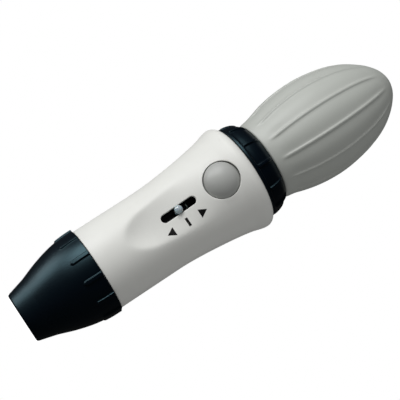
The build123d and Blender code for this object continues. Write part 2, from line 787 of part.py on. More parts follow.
def main():
    """Build every piece and save it."""
    os.makedirs("parts", exist_ok=True)
    outer, rooms, skin = housing_skin()
    membrane = rod(membrane_radius - fit_gap, filter_joint - membrane_thickness / 2,
                   filter_joint + membrane_thickness / 2)
    pieces = {
        "nose_cone": nose_cone(),
        "pipette_adapter": pipette_adapter(),
        "filter_lower_half": Pos(0, 0, filter_joint) * filter_half(lower_spout_length),
        "filter_upper_half": Pos(0, 0, filter_joint) * Rot(180, 0, 0) * filter_half(upper_spout_length),
        "filter_membrane": membrane,
        "filter_o_ring": filter_o_ring(),
        "nose_spigot": nose_spigot(),
        "lower_tube": lower_tube(),
        "front_shell": front_shell(outer, rooms, skin),
        "rear_shell": rear_shell(outer, skin),
        "shell_screws": shell_screws(),
        "valve_block": valve_block(),
        "lower_spring_plug": spring_plug(-1),
        "upper_spring_plug": spring_plug(1),
        "valve_spool": valve_spool(),
        "spool_o_rings": spool_o_rings(),
        "lower_centring_spring": centring_spring(-1),
        "upper_centring_spring": centring_spring(1),
        "lever_stud": lever_stud(),
        "slot_shield": slot_shield(),
        "upper_tube": upper_tube(),
        "exhaust_body": exhaust_body(),
        "exhaust_end_plug": exhaust_end_plug(),
        "button_cap": button_cap(),
        "button_stem": button_stem(),
        "exhaust_poppet": exhaust_poppet(),
        "button_spring": button_spring(),
        "bulb_spigot": bulb_spigot(),
        "spigot_o_ring": spigot_o_ring(),
        "bulb_collar": bulb_collar(),
        "bulb": bulb(),
    }
    for name, piece in pieces.items():
        write(name, piece)


main()
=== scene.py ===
import logging
import math
from dataclasses import dataclass, field
from enum import Enum
from typing import Callable, Optional, Sequence

import bmesh
import bpy
import numpy as np
from mathutils import Matrix, Vector


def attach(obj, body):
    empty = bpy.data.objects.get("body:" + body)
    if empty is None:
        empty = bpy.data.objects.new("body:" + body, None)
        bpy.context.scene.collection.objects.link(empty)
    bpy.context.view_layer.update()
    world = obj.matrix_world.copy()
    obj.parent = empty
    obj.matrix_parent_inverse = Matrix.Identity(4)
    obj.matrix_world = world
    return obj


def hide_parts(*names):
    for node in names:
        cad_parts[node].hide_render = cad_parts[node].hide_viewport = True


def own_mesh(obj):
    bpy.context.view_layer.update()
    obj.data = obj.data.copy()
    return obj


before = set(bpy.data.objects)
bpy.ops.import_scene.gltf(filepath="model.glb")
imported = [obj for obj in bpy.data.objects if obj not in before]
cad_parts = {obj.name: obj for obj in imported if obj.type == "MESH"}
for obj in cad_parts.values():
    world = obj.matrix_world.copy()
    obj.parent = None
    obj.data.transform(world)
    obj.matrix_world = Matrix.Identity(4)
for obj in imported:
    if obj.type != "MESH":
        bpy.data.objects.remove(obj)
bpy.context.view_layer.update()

MM = 0.001
WELD = 2e-6
LEVER_HEIGHT = 86.9
LEVER_TRAVEL = 6.0
BUTTON_HEIGHT = 110.7
BUTTON_PLANE = 24.7
BUTTON_TILT = 12.0
BUTTON_TRAVEL = 3.5
ROUND_SAMPLES = 7
ROUND_SHARE = 0.45
FOLLOW_STEPS = 12
RIB_SHARES = (0.0, 0.35, 0.6, 0.78, 0.9, 1.0, 1.12, 1.3, 1.6)
GAP_SAMPLES = 6
MOTTLE_DETAIL = 5.0
FINE_DETAIL = 3.0
SMUDGE_SCALE = 0.35
SMUDGE_RANGE = (0.3, 0.7)
COAT_GLOSS = 0.12
SOFT_REACH = 0.002
WHITE = (1.0, 1.0, 1.0, 1.0)
Array = np.ndarray
Lift = Callable[[Array, Array, Array], Array]
Colour = tuple[float, float, float]
log = logging.getLogger("pipette_pump")


class Body(Enum):
    """The moving bodies that pieces ride on."""

    HOUSING = "housing"
    NOSE_INSERT = "nose_insert"
    NOSE_CONE = "nose_cone"
    LEVER = "lever"
    BUTTON = "button"
    BULB = "bulb"
    COLLAR = "bulb_collar"


class Half(Enum):
    """The two shells of the housing, by the side of the axis that they close."""

    FRONT = -1
    REAR = 1


def smoothstep(low: float, high: float, value: Array) -> Array:
    """Rise from 0 at low to 1 at high along t * t * (3 - 2 * t)."""
    share = np.clip((value - low) / (high - low), 0.0, 1.0)
    return share * share * (3.0 - 2.0 * share)


def smooth_min(first: Array, second: Array, width: Array | float) -> Array:
    """The smaller of two surfaces, with a round of about width where they cross.

    Formula: half of (a + b - sqrt((a - b) squared + width squared)).

    Args:
        first: One surface's values.
        second: The other surface's values.
        width: How wide the round between them is.

    Returns:
        The blended values.
    """
    return 0.5 * (first + second - np.sqrt((first - second) ** 2 + width ** 2))


def curve_through(points: Sequence[tuple[float, float]], at: Array,
                  slopes: tuple[Optional[float], Optional[float]] = (None, None)) -> Array:
    """A smooth curve through (position, value) points.

    Formula: each stretch is a cubic Hermite whose slope at a point is the weighted mean of the
    chords beside it; beyond the ends the curve goes on straight.

    Args:
        points: The points that the curve passes, in rising order of position.
        at: Where the curve is wanted.
        slopes: The slopes at the two ends, where they are known.

    Returns:
        The curve's values.
    """
    place, value = np.array(points, float).T
    slope = np.gradient(value, place)
    slope[0] = slope[0] if slopes[0] is None else slopes[0]
    slope[-1] = slope[-1] if slopes[1] is None else slopes[1]
    left = np.clip(np.searchsorted(place, at) - 1, 0, len(place) - 2)
    span = place[left + 1] - place[left]
    inside = np.clip(at, place[0], place[-1])
    t = (inside - place[left]) / span
    rise = value[left] * (1 + 2 * t) * (1 - t) ** 2 + value[left + 1] * t * t * (3 - 2 * t)
    lean = slope[left] * t * (1 - t) ** 2 - slope[left + 1] * t * t * (1 - t)
    beyond = np.where(at < inside, slope[0], slope[-1]) * (at - inside)
    return rise + lean * span + beyond


def path_through(points: Sequence[tuple[float, float]], step: float,
                 first: Optional[tuple[float, float]] = None,
                 last: Optional[tuple[float, float]] = None) -> Array:
    """A smooth (radius, height) path through points, by the length of the chords between them.

    Args:
        points: The points that the path passes.
        step: The distance between the samples.
        first: The direction at the start, if known.
        last: The direction at the end, if known.

    Returns:
        The sampled path, one row for each sample.
    """
    knots = np.array(points, float)
    length = np.concatenate([[0.0], np.cumsum(np.linalg.norm(np.diff(knots, axis=0), axis=1))])
    at = np.linspace(0.0, length[-1], int(length[-1] / step) + 2)
    columns = []
    for axis in (0, 1):
        ends = (None if first is None else first[axis], None if last is None else last[axis])
        columns.append(curve_through(list(zip(length, knots[:, axis])), at, ends))
    return np.stack(columns, axis=1)


def soft_outline(corners: Sequence[tuple[float, float, float]], step: float,
                 closed: bool = True) -> Array:
    """An outline whose corners are rounded and whose stretches are cut into steps.

    Formula: a corner with a reach is the quadratic Bezier between the points that lie that reach
    before and behind it; the rest is straight.

    Args:
        corners: (radius, height, reach of the round) of each corner.
        step: The longest distance between samples.
        closed: Whether the last corner joins the first.

    Returns:
        The sampled outline, one row for each sample.
    """
    data = np.array(corners, float)
    points, reach = data[:, :2], data[:, 2]
    blend = np.linspace(0.0, 1.0, ROUND_SAMPLES)[:, None]
    pieces = []
    for index, here in enumerate(points):
        if reach[index] == 0.0 or (not closed and index in (0, len(points) - 1)):
            pieces.append(here[None])
            continue
        back = points[index - 1] - here
        ahead = points[(index + 1) % len(points)] - here
        cut = min(reach[index], *(ROUND_SHARE * np.linalg.norm(arm) for arm in (back, ahead)))
        start = here + back / np.linalg.norm(back) * cut
        end = here + ahead / np.linalg.norm(ahead) * cut
        pieces.append((1 - blend) ** 2 * start + 2 * blend * (1 - blend) * here + blend ** 2 * end)
    chain = np.concatenate(pieces + ([pieces[0][:1]] if closed else []))
    length = np.concatenate([[0.0], np.cumsum(np.linalg.norm(np.diff(chain, axis=0), axis=1))])
    at = np.union1d(length, np.arange(0.0, length[-1], step))
    at = at[np.concatenate([[True], np.diff(at) > 1e-3])]
    at = at[:-1] if closed else at
    return np.stack([np.interp(at, length, chain[:, axis]) for axis in (0, 1)], axis=1)


def quads(rows: int, columns: int, wrap_rows: bool, wrap_columns: bool) -> Array:
    """The corner numbers of the faces of a grid whose points are numbered row by row."""
    i = np.arange(rows if wrap_rows else rows - 1)[:, None]
    j = np.arange(columns if wrap_columns else columns - 1)[None, :]
    next_i, next_j = (i + 1) % rows, (j + 1) % columns
    corners = [i * columns + j, i * columns + next_j,
               next_i * columns + next_j, next_i * columns + j]
    return np.stack(corners, axis=-1).reshape(-1, 4)


def make_piece(name: str, points: Array, faces: Array, body: Body,
               replaced: Sequence[str] = (), open_sheet: bool = False) -> bpy.types.Object:
    """Put a computed surface into a mesh that rides on a body.

    Args:
        name: The piece's name.
        points: Corner positions in millimetres.
        faces: The corner numbers of each face.
        body: The body that carries the piece.
        replaced: The nodes that the piece stands for.
        open_sheet: Whether the surface is a sheet round the axis and not a closed skin.

    Returns:
        The new object.
    """
    mesh = bpy.data.meshes.new(name)
    mesh.from_pydata((points * MM).tolist(), [], faces.tolist())
    work = bmesh.new()
    work.from_mesh(mesh)
    bmesh.ops.remove_doubles(work, verts=work.verts[:], dist=WELD)
    loose = [edge for edge in work.edges if not edge.link_faces]
    bmesh.ops.delete(work, geom=loose, context="EDGES")
    bmesh.ops.recalc_face_normals(work, faces=work.faces[:])
    if open_sheet:
        lean = sum(face.normal.xy.dot(face.calc_center_median().xy) * face.calc_area()
                   for face in work.faces)
        if lean < 0.0:
            bmesh.ops.reverse_faces(work, faces=work.faces[:])
    work.to_mesh(mesh)
    work.free()
    mesh.polygons.foreach_set("use_smooth", np.ones(len(mesh.polygons), bool))
    piece = bpy.data.objects.new(name, mesh)
    bpy.context.scene.collection.objects.link(piece)
    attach(piece, body.value)
    if replaced:
        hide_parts(*replaced)
    log.info("%s: %d faces on %s", name, len(mesh.polygons), body.value)
    return piece


def lathe(outline: Array, angles: Array, lift: Optional[Lift] = None) -> tuple[Array, Array]:
    """A closed surface turned about Z from a closed outline.

    Formula: at outline point (r, z) and angle a the surface stands at
    ((r + lift) sin a, -(r + lift) cos a, z).

    Args:
        outline: (radius, height) of each outline point.
        angles: The angles, in radians from the thumb side.
        lift: How far the surface stands out, from its radius, height and angle.

    Returns:
        The points and the faces.
    """
    radius, height = outline[:, :1], outline[:, 1:]
    turn = angles[None, :]
    reach = radius + (lift(radius, height, turn) if lift else 0.0 * turn)
    flat = [reach * np.sin(turn), -reach * np.cos(turn), height + 0.0 * turn]
    points = np.stack(flat, axis=-1).reshape(-1, 3)
    return points, quads(len(outline), len(angles), True, True)


def even_angles(count: int) -> Array:
    """Evenly spaced angles round a full turn, in radians."""
    return np.arange(count) * 2.0 * math.pi / count


def set_inputs(node: bpy.types.Node, values: dict[str, object]) -> None:
    """Set a node's inputs by name."""
    for name, value in values.items():
        node.inputs[name].default_value = value


@dataclass(frozen=True)
class Ribs:
    """Evenly spaced ribs with soft flanks, the first at an angle in degrees, on a surface of a
    given radius."""

    count: int
    first: float
    width: float
    height: float
    flank: float
    radius: float

    def angles(self) -> Array:
        """Angles round the axis, in radians, that are close together at the ribs' edges."""
        sector = 180.0 / self.count
        near = math.degrees(self.width / 2 / self.radius) * np.array(RIB_SHARES)
        far = np.linspace(near[-1], sector, GAP_SAMPLES)[1:-1]
        side = np.concatenate([near, far])
        offsets = np.concatenate([-side[:0:-1], side, [sector]])
        centres = self.first + np.arange(self.count) * 2.0 * sector
        return np.radians((centres[:, None] + offsets[None, :]).reshape(-1))

    def lift(self, turn: Array, radius: Array, before: Array | float = 0.0) -> Array:
        """How far the ribs stand out of a round surface.

        Formula: the distance from the nearest rib's middle line, less half its width, drops the
        height to zero along a smoothstep over its flank.

        Args:
            turn: The angle, in radians.
            radius: The surface's radius there.
            before: How far the place lies before the start of a rib with a round end.

        Returns:
            The height of the rib there.
        """
        sector = 2.0 * math.pi / self.count
        apart = (turn - math.radians(self.first) + sector / 2) % sector - sector / 2
        across = np.hypot(apart * radius, before) - self.width / 2
        return self.height * (1.0 - smoothstep(-self.flank / 2, self.flank / 2, across))


@dataclass(frozen=True)
class Finish:
    """A moulded, turned or drawn surface, by its tones, gloss and grain."""

    name: str
    tone: Colour
    shade: Colour
    gloss: float
    gloss_spread: float = 0.06
    mottle: float = 90.0
    grain: float = 2600.0
    grain_depth: float = 0.00002
    grain_strength: float = 0.25
    metallic: float = 0.0
    coat: float = 0.0
    soft_light: float = 0.0
    specular: float = 0.5
    tint: Colour = (1.0, 1.0, 1.0)

    def material(self) -> bpy.types.Material:
        """Make the material, or find it if a piece has it already.

        Returns:
            The material: mottled tone, uneven gloss and a fine moulded grain.
        """
        if self.name in bpy.data.materials:
            return bpy.data.materials[self.name]
        made = bpy.data.materials.new(self.name)
        made.use_nodes = True
        nodes, links = made.node_tree.nodes, made.node_tree.links
        shader = nodes["Principled BSDF"]
        set_inputs(shader, {
            "Metallic": self.metallic, "Specular IOR Level": self.specular,
            "Specular Tint": (*self.tint, 1.0), "Coat Weight": self.coat,
            "Coat Roughness": COAT_GLOSS, "Subsurface Weight": self.soft_light,
            "Subsurface Scale": SOFT_REACH,
        })
        place = nodes.new("ShaderNodeTexCoord").outputs["Object"]
        mottle = self._noise(nodes, links, place, self.mottle, MOTTLE_DETAIL)
        mix = nodes.new("ShaderNodeMix")
        mix.data_type = "RGBA"
        set_inputs(mix, {"A": (*self.tone, 1.0), "B": (*self.shade, 1.0)})
        links.new(mottle, mix.inputs["Factor"])
        links.new(mix.outputs["Result"], shader.inputs["Base Color"])
        smudge = self._noise(nodes, links, place, self.mottle * SMUDGE_SCALE, FINE_DETAIL)
        spread = nodes.new("ShaderNodeMapRange")
        set_inputs(spread, {
            "From Min": SMUDGE_RANGE[0], "From Max": SMUDGE_RANGE[1],
            "To Min": self.gloss - self.gloss_spread, "To Max": self.gloss + self.gloss_spread,
        })
        links.new(smudge, spread.inputs["Value"])
        links.new(spread.outputs["Result"], shader.inputs["Roughness"])
        bump = nodes.new("ShaderNodeBump")
        set_inputs(bump, {"Strength": self.grain_strength, "Distance": self.grain_depth})
        links.new(self._noise(nodes, links, place, self.grain, FINE_DETAIL), bump.inputs["Height"])
        links.new(bump.outputs["Normal"], shader.inputs["Normal"])
        return made

    @staticmethod
    def _noise(nodes: bpy.types.Nodes, links: bpy.types.NodeLinks, place: bpy.types.NodeSocket,
               scale: float, detail: float) -> bpy.types.NodeSocket:
        """Add a noise texture on the piece's own coordinates and return its value socket."""
        noise = nodes.new("ShaderNodeTexNoise")
        set_inputs(noise, {"Scale": scale, "Detail": detail})
        links.new(place, noise.inputs["Vector"])
        return noise.outputs["Fac"]

    def dress(self, piece: bpy.types.Object) -> None:
        """Give a piece this finish all over."""
        if piece.material_slots:
            for place in piece.material_slots:
                place.material = self.material()
        else:
            piece.data.materials.append(self.material())


PALE_SHELL = Finish("pale_shell", (0.745, 0.75, 0.72), (0.71, 0.715, 0.685), 0.50, specular=0.35)
NAVY_SHELL = Finish("navy_shell", (0.0004, 0.0012, 0.0040), (0.0007, 0.0019, 0.0055), 0.38, 0.05,
                    specular=0.34, tint=(0.47, 0.86, 1.0))
BULB_RUBBER = Finish("bulb_rubber", (0.450, 0.468, 0.438), (0.420, 0.438, 0.408), 0.52, 0.04,
                     mottle=60.0, grain=1800.0, grain_depth=0.00004, grain_strength=0.3,
                     specular=0.6)
BUTTON_GREY = Finish("button_shell", (0.385, 0.393, 0.379), (0.366, 0.374, 0.360), 0.50,
                     grain_strength=0.3, specular=0.60)
STUD_GLOSS = Finish("stud_gloss", (0.38, 0.47, 0.51), (0.34, 0.43, 0.47), 0.14, 0.03, coat=0.6,
                    soft_light=0.15)
# The ridge's pale colour is a painted highlight: a tick of light on the dark slide, far lighter
# than the slide itself.
RIDGE_PAINTED_HIGHLIGHT = Finish("ridge_painted_highlight", (0.30, 0.38, 0.36), (0.24, 0.31, 0.29), 0.3)
SLOT_BLACK = Finish("slot_black", (0.002, 0.002, 0.003), (0.004, 0.004, 0.005), 0.6, specular=0.15)
PRINT_BLACK = Finish("print_black", (0.002, 0.002, 0.002), (0.004, 0.004, 0.004), 0.6, specular=0.2)
ADAPTER_RUBBER = Finish("adapter_rubber", (0.16, 0.17, 0.18), (0.13, 0.14, 0.15), 0.6)
CASE_WHITE = Finish("case_white", (0.72, 0.73, 0.71), (0.68, 0.69, 0.67), 0.4)
INNER_GREY = Finish("inner_grey", (0.36, 0.37, 0.36), (0.33, 0.34, 0.33), 0.45)
MEMBRANE = Finish("membrane", (0.85, 0.85, 0.84), (0.80, 0.80, 0.79), 0.8, grain=5000.0)
SEAL_BLACK = Finish("seal_black", (0.012, 0.012, 0.012), (0.02, 0.02, 0.02), 0.55)
TURNED_STEEL = Finish("turned_steel", (0.55, 0.55, 0.56), (0.48, 0.48, 0.49), 0.3, metallic=1.0)
SPRING_STEEL = Finish("drawn_steel", (0.50, 0.50, 0.52), (0.42, 0.42, 0.44), 0.25, metallic=1.0)
TURNED_BRASS = Finish("turned_brass", (0.62, 0.47, 0.20), (0.55, 0.41, 0.17), 0.3, metallic=1.0)
TUBE_CLEAR = Finish("tube_rubber", (0.62, 0.62, 0.60), (0.57, 0.57, 0.55), 0.45, soft_light=0.3)


@dataclass(frozen=True)
class Opening:
    """An opening through a shell, round or a slot with round ends, sunk along a straight line.

    Its window is the patch of the shell's grid that is laid out afresh round it.
    """

    centre: tuple[float, float]
    radius: float
    window_angles: tuple[float, float]
    window_heights: tuple[float, float]
    wall: float
    straight: float = 0.0
    edge: float = 0.3
    tilt: float = 0.0
    surface: float = 0.0

    def mouth(self, side: Array, along: Array, grow: float, depth: Callable[[Array, Array], Array]
              ) -> tuple[Array, Array]:
        """Points of the opening's outline, seen from the shell's side.

        Formula: each of the four sides takes a quarter of the outline: the lower end, the +X
        side, the upper end and the -X side. A tilted opening is followed to the surface by
        repeated substitution.

        Args:
            side: Which side each point belongs to, from 0 to 3.
            along: How far along that side it is, from 0 to 1.
            grow: How much larger the outline is than the opening.
            depth: The surface's distance from the plane of the axis, at (x, z).

        Returns:
            The x and z of the points.
        """
        radius = self.radius + grow
        if self.straight:
            turn = np.where(side == 0, math.pi * (1 + along), math.pi * along)
            half = self.straight / 2
            run = (2 * along - 1) * half
            x = np.select([side == 1, side == 3], [radius, -radius], radius * np.cos(turn))
            z = np.select([side == 1, side == 3], [run, -run], radius * np.sin(turn))
            z = z + np.select([side == 0, side == 2], [-half, half], 0.0)
            return self.centre[0] + x, self.centre[1] + z
        turn = np.radians(-135.0 + 90.0 * (side + along))
        x, up = self.centre[0] + radius * np.cos(turn), radius * np.sin(turn)
        if not self.tilt:
            return x, self.centre[1] + up
        lean = math.radians(self.tilt)
        z = self.centre[1] + up * math.cos(lean)
        for _ in range(FOLLOW_STEPS):
            sunk = (self.surface + up * math.sin(lean) - depth(x, z)) / math.cos(lean)
            z = self.centre[1] + up * math.cos(lean) + sunk * math.sin(lean)
        return x, z

    def inward(self, half: Half) -> Array:
        """The direction in which the opening sinks, away from the shell's surface."""
        lean = math.radians(self.tilt)
        return np.array([0.0, -half.value * math.cos(lean), math.sin(lean)])


@dataclass
class Housing:
    """The waisted grip: two shells with a thumb scoop, openings and printed marks.

    The scoop's rows are (height, middle distance from the axis, dish); the columns' runs are
    (first angle, last angle, step) in degrees from the middle.
    """

    bottom: float = 41.3
    top: float = 127.0
    waist: float = 21.4
    flare: tuple = ((74.0, 21.4), (97.0, 23.1), (115.0, 25.9), (123.0, 27.78))
    top_round: float = 4.0
    arc_samples: int = 13
    neck_hole: float = 21.9
    neck_depth: float = 2.0
    lip_depth: float = 1.9
    lip_inside: float = 0.9
    lip_outside: float = 0.7
    inner_round: float = 0.3
    outer_round: float = 0.35
    scoop: tuple = ((57.0, 22.2, 0.030), (61.0, 20.1, 0.029), (66.0, 18.6, 0.020),
                    (76.0, 18.1, 0.008), (88.0, 19.25, -0.003), (98.0, 21.9, -0.014),
                    (107.0, 24.8, -0.020))
    scoop_round: float = 0.9
    scoop_half: tuple = (14.5, 19.0)
    scoop_rise: float = 0.9
    skin: float = 1.6
    row_step: float = 0.75
    side_slack: float = 0.01
    edge_step: float = 0.6
    column_runs: tuple = ((0.0, 16.0, 0.9), (16.2, 34.0, 1.3), (34.4, 88.0, 2.2))
    seam_columns: tuple = (89.0, 89.5)
    seam_start: float = 89.3
    seam_angle: float = 89.85
    seam_round: float = 0.25
    blend_rows: int = 8
    blend_power: float = 0.85
    edge_samples: int = 6
    wall_rows: tuple = (0.12, 0.55, 1.0)
    mark_samples: int = 13
    ink: float = 0.06
    openings: dict = field(default_factory=lambda: {
        Half.FRONT: (
            Opening((0.0, LEVER_HEIGHT), 2.1, (-16.2, 16.2), (74.0, 99.8), 1.7, straight=14.8,
                    edge=0.25),
            Opening((0.0, BUTTON_HEIGHT), 9.0, (-27.9, 27.9), (99.8, 121.8), 3.0, edge=0.45,
                    tilt=BUTTON_TILT, surface=BUTTON_PLANE),
        ),
        Half.REAR: tuple(
            Opening((sign * x, z), 2.9, window, (z - 6.0, z + 6.0), wall)
            for x, z, wall in ((14.5, 54.0, 8.5), (16.5, 108.0, 10.5))
            for sign, window in ((1.0, (25.0, 61.0)), (-1.0, (-61.0, -25.0)))
        ),
    })
    marks: dict = field(default_factory=lambda: {
        "mark_dispense": ((5.2, 79.9), (9.7, 79.9), (7.45, 75.9), (7.45, 75.9)),
        "mark_hold": ((5.2, 86.8), (9.5, 86.8), (9.5, 88.1), (5.2, 88.1)),
        "mark_aspirate": ((5.1, 94.0), (9.5, 94.0), (7.3, 97.9), (7.3, 97.9)),
    })

    def radius(self, height: Array) -> Array:
        """The outer radius: a straight waist and a flare that ends upright."""
        flared = curve_through([(z, r) for z, r in self.flare], height, (0.0, 0.0))
        return np.where(height < self.flare[0][0], self.waist, flared)

    def hollow(self, x: Array, height: Array, away: Array) -> Array:
        """The distance of the front surface once the scoop is taken out of it.

        Formula: the scoop's floor is its middle distance plus its dish times x squared; the
        smooth minimum of that and the round form keeps a soft edge, which sharpens to none
        beside the scoop.

        Args:
            x: Distance across.
            height: Height along the axis.
            away: The round form's distance from the plane of the axis.

        Returns:
            The front surface's distance.
        """
        ends = (self.scoop[0][0], self.scoop[-1][0])
        inside = np.clip(height, *ends)
        middle = curve_through([(z, distance) for z, distance, _ in self.scoop], inside)
        dish = curve_through([(z, bend) for z, _, bend in self.scoop], inside)
        beyond = self.scoop_rise * (np.maximum(ends[0] - height, 0.0)
                                    + np.maximum(height - ends[1], 0.0))
        softness = self.scoop_round * (1.0 - smoothstep(*self.scoop_half, np.abs(x)))
        return smooth_min(away, middle + dish * x ** 2 + beyond, softness)

    def depth(self, x: Array, height: Array, half: Half) -> Array:
        """The surface's distance from the plane of the axis.

        Formula: sqrt(radius squared - x squared), less the scoop in front.

        Args:
            x: Distance across.
            height: Height along the axis.
            half: Which shell.

        Returns:
            The distance, always positive.
        """
        round_part = np.sqrt(np.maximum(self.radius(height) ** 2 - x ** 2, 0.0))
        if half is Half.REAR:
            return round_part
        return self.hollow(x, height, round_part)

    def rows(self) -> Array:
        """The shell's outline from its lower lip, up its side and over its upper edge."""
        side_z = np.arange(self.bottom + self.row_step, self.top - self.top_round, self.row_step)
        side = np.stack([self.radius(side_z), side_z], axis=1)
        turn = np.linspace(0.0, math.pi / 2, self.arc_samples)[:, None]
        crest = self.flare[-1][1] - self.top_round
        arc = np.concatenate([crest + self.top_round * np.cos(turn),
                              self.top - self.top_round + self.top_round * np.sin(turn)], axis=1)
        inside = self.waist - self.lip_depth
        lip = soft_outline([(inside, self.bottom + self.lip_inside, 0.0),
                            (inside, self.bottom, self.inner_round),
                            (self.waist, self.bottom, self.outer_round),
                            (self.waist, self.bottom + self.lip_outside, 0.0)],
                           self.edge_step, False)
        rim = soft_outline([(crest - self.inner_round, self.top, 0.0),
                            (self.neck_hole, self.top, self.inner_round),
                            (self.neck_hole, self.top - self.neck_depth, 0.0)],
                           self.edge_step, False)
        return np.concatenate([lip, side, arc, rim])

    def columns(self) -> Array:
        """The angles across a shell, closest near its middle, in degrees."""
        runs = [np.arange(*run) for run in self.column_runs]
        side = np.concatenate(runs + [np.array([*self.seam_columns, self.seam_angle])])
        return np.concatenate([-side[:0:-1], side])

    def side_row(self, rows: Array, height: float) -> int:
        """The number of the row on the shell's side that lies nearest to a height."""
        off_side = rows[:, 0] < self.waist - self.side_slack
        return int(np.argmin(np.abs(rows[:, 1] - height) + self.top * off_side))

    def shell(self, half: Half, name: str, node: str) -> bpy.types.Object:
        """Make one shell as a sheet with its openings, and give it its wall.

        Formula: at row (r, z) and angle a, the sheet stands at x = r sin a and at the depth of
        the surface there; at the seam it drops by a small round. Each opening's window is a
        ring of rows that go over from the window's sides to the opening's outline, round its
        edge and down its wall.

        Args:
            half: Which shell.
            name: The piece's name.
            node: The node that it stands for.

        Returns:
            The shell.
        """
        rows, angles = self.rows(), self.columns()
        radius, height = rows[:, :1], rows[:, 1:] + 0.0 * angles[None, :]
        turn = np.radians(angles)[None, :]
        near_seam = smoothstep(self.seam_start, self.seam_angle, np.abs(angles))
        drop = self.seam_round * near_seam[None, :]
        x = (radius - drop) * np.sin(turn)
        away = (radius - drop) * np.cos(turn)
        if half is Half.FRONT:
            away = self.hollow(x, height, away)
        sheet = np.stack([x, half.value * away, height], axis=-1)
        kept = np.ones((len(rows) - 1, len(angles) - 1), bool)
        points, faces = [sheet.reshape(-1, 3)], []
        count = sheet.shape[0] * sheet.shape[1]
        for opening in self.openings[half]:
            low, high = (self.side_row(rows, z) for z in opening.window_heights)
            left, right = (int(np.argmin(np.abs(angles - angle)))
                           for angle in opening.window_angles)
            kept[low:high, left:right] = False
            ring = self.ring(opening, half, x, height, (low, high, left, right))
            points.append(ring.reshape(-1, 3))
            faces.append(count + quads(ring.shape[0], ring.shape[1], False, True))
            count += ring.shape[0] * ring.shape[1]
        faces.insert(0, quads(sheet.shape[0], sheet.shape[1], False, False)[kept.reshape(-1)])
        piece = make_piece(name, np.concatenate(points), np.concatenate(faces), Body.HOUSING,
                           (node,), open_sheet=True)
        wall = piece.modifiers.new("wall", "SOLIDIFY")
        wall.thickness = self.skin * MM
        wall.offset = -1.0
        PALE_SHELL.dress(piece)
        return piece

    def ring(self, opening: Opening, half: Half, x: Array, height: Array,
             window: tuple[int, int, int, int]) -> Array:
        """The rows of points from a window's sides to an opening and down its wall.

        Args:
            opening: The opening.
            half: Which shell it is in.
            x: The x of the shell's grid points.
            height: The z of the shell's grid points.
            window: The first and last row and the first and last column of the window.

        Returns:
            The points, by row and by place round the opening.
        """
        low, high, left, right = window
        up, across = np.arange(low, high), np.arange(left, right)
        i = np.concatenate([0 * across + low, up, 0 * across + high, up[::-1] + 1])
        j = np.concatenate([across, 0 * up + right, across[::-1] + 1, 0 * up + left])
        counts = [len(across), len(up), len(across), len(up)]
        side = np.repeat(np.arange(4), counts)
        along = np.concatenate([np.arange(count) / count for count in counts])

        def depth(at_x: Array, at_z: Array) -> Array:
            """The surface's depth on this shell."""
            return self.depth(at_x, at_z, half)

        edge_x, edge_z = x[i, j], height[i, j]
        mouth_x, mouth_z = opening.mouth(side, along, opening.edge, depth)
        layers = []
        for share in np.linspace(0.0, 1.0, self.blend_rows + 1) ** self.blend_power:
            at_x = edge_x + (mouth_x - edge_x) * share
            at_z = edge_z + (mouth_z - edge_z) * share
            layers.append(np.stack([at_x, half.value * depth(at_x, at_z), at_z], axis=-1))
        inward = opening.inward(half)
        turns = np.linspace(0.0, math.pi / 2, self.edge_samples)[1:]
        sinks = [(opening.edge * (1 - math.sin(turn)), opening.edge * (1 - math.cos(turn)))
                 for turn in turns]
        sinks += [(0.0, opening.edge + opening.wall * share) for share in self.wall_rows]
        for grow, sink in sinks:
            at_x, at_z = opening.mouth(side, along, grow, depth)
            top = np.stack([at_x, half.value * depth(at_x, at_z), at_z], axis=-1)
            layers.append(top + inward * sink)
        return np.stack(layers)

    def mark(self, name: str, corners: Sequence[tuple[float, float]]) -> None:
        """Print one mark beside the slot.

        Formula: the bilinear patch between four corners, laid on the surface at print height.

        Args:
            name: The piece's name.
            corners: Its (x, z) corners; a triangle repeats its last.
        """
        steps = np.linspace(0.0, 1.0, self.mark_samples)
        u, v = np.meshgrid(steps, steps, indexing="ij")
        a, b, c, d = np.array(corners)
        flat = (np.multiply.outer((1 - u) * (1 - v), a) + np.multiply.outer(u * (1 - v), b)
                + np.multiply.outer(u * v, c) + np.multiply.outer((1 - u) * v, d))
        depth = self.depth(flat[..., 0], flat[..., 1], Half.FRONT)
        outer = np.stack([flat[..., 0], -depth - self.ink / 2, flat[..., 1]], axis=-1)
        faces = quads(self.mark_samples, self.mark_samples, False, False)
        piece = make_piece(name, outer.reshape(-1, 3), faces, Body.HOUSING,
                           open_sheet=True)
        ink = piece.modifiers.new("ink", "SOLIDIFY")
        ink.thickness = self.ink * MM
        ink.offset = -1.0
        PRINT_BLACK.dress(piece)

    def build(self) -> None:
        """Make both shells and the three marks."""
        self.shell(Half.FRONT, "housing_front", "front_shell")
        self.shell(Half.REAR, "housing_rear", "rear_shell")
        for name, corners in self.marks.items():
            self.mark(name, corners)


